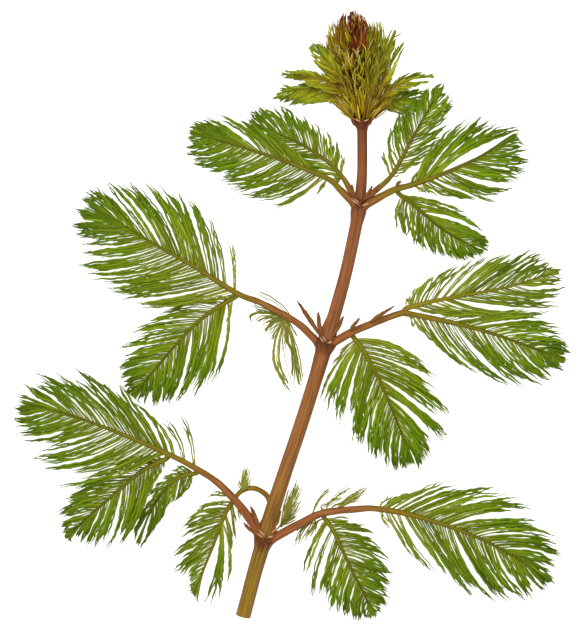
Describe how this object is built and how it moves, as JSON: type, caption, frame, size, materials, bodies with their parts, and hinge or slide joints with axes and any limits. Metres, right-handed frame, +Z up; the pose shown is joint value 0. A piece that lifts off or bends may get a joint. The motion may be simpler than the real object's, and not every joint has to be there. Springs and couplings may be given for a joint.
{
  "type": "eurasian water milfoil sprig",
  "caption": "Cut sprig of a water plant lying flat: slender brown stem, whorls of feathery leaves with thread-thin leaflets, and a dense leafy tip.",
  "frame": {"origin": "On the surface that the sprig lies on, under the middle of its outline.", "axes": "+Y runs along the stem from its cut end towards the growing tip, +X to the right of someone looking down on it with the tip away from them, +Z up from the surface."},
  "size_m": [0.0839, 0.0917, 0.0124],
  "materials": {
    "stem": "smooth living stem, reddish brown with olive streaks, a soft satin sheen",
    "leaf": "soft fresh-green leaflets on an olive-brown rachis, satin",
    "young_leaf": "soft yellow-green young leaflets, satin",
    "bract": "thin red-brown scale, satin",
    "shoot_tip": "packed yellow-green young leaves with brown tips, satin"
  },
  "bodies": {
    "root": {"stem": "stem", "lower_back_leaf": "leaf", "lower_back_small_leaf": "leaf", "lower_left_inner_leaf": "leaf", "lower_left_leaf": "leaf", "lower_left_side_leaf": "leaf", "lower_right_hanging_leaf": "leaf", "lower_right_leaf": "leaf", "lower_right_small_leaf": "leaf", "lower_right_small_under_leaf": "leaf", "lower_right_small_upper_leaf": "leaf", "middle_hanging_leaf": "leaf", "middle_left_leaf": "leaf", "middle_left_lower_leaf": "leaf", "middle_left_sparse_leaf": "leaf", "middle_right_leaf": "leaf", "middle_right_upper_leaf": "leaf", "upper_left_back_leaf": "leaf", "upper_left_leaf": "leaf", "upper_right_leaf": "leaf", "upper_right_lower_leaf": "leaf", "upper_right_upright_leaf": "leaf", "tip_leaf_left_high": "young_leaf", "tip_leaf_left_inner": "young_leaf", "tip_leaf_left_low": "young_leaf", "tip_leaf_right_high": "young_leaf", "tip_leaf_right_inner": "young_leaf", "tip_leaf_right_low": "young_leaf", "tip_leaf_right_outer": "young_leaf", "bract_lower_left_short": "bract", "bract_lower_left_tall": "bract", "bract_lower_right": "bract", "bract_middle_left_long": "bract", "bract_middle_left_short": "bract", "bract_middle_right_long": "bract", "bract_middle_right_petiole": "bract", "bract_middle_right_stem": "bract", "bract_upper_left": "bract", "bract_upper_right_fork": "bract", "bract_upper_right_inner": "bract", "bract_upper_right_outer": "bract", "shoot_tip": "shoot_tip"}
  },
  "joints": []
}
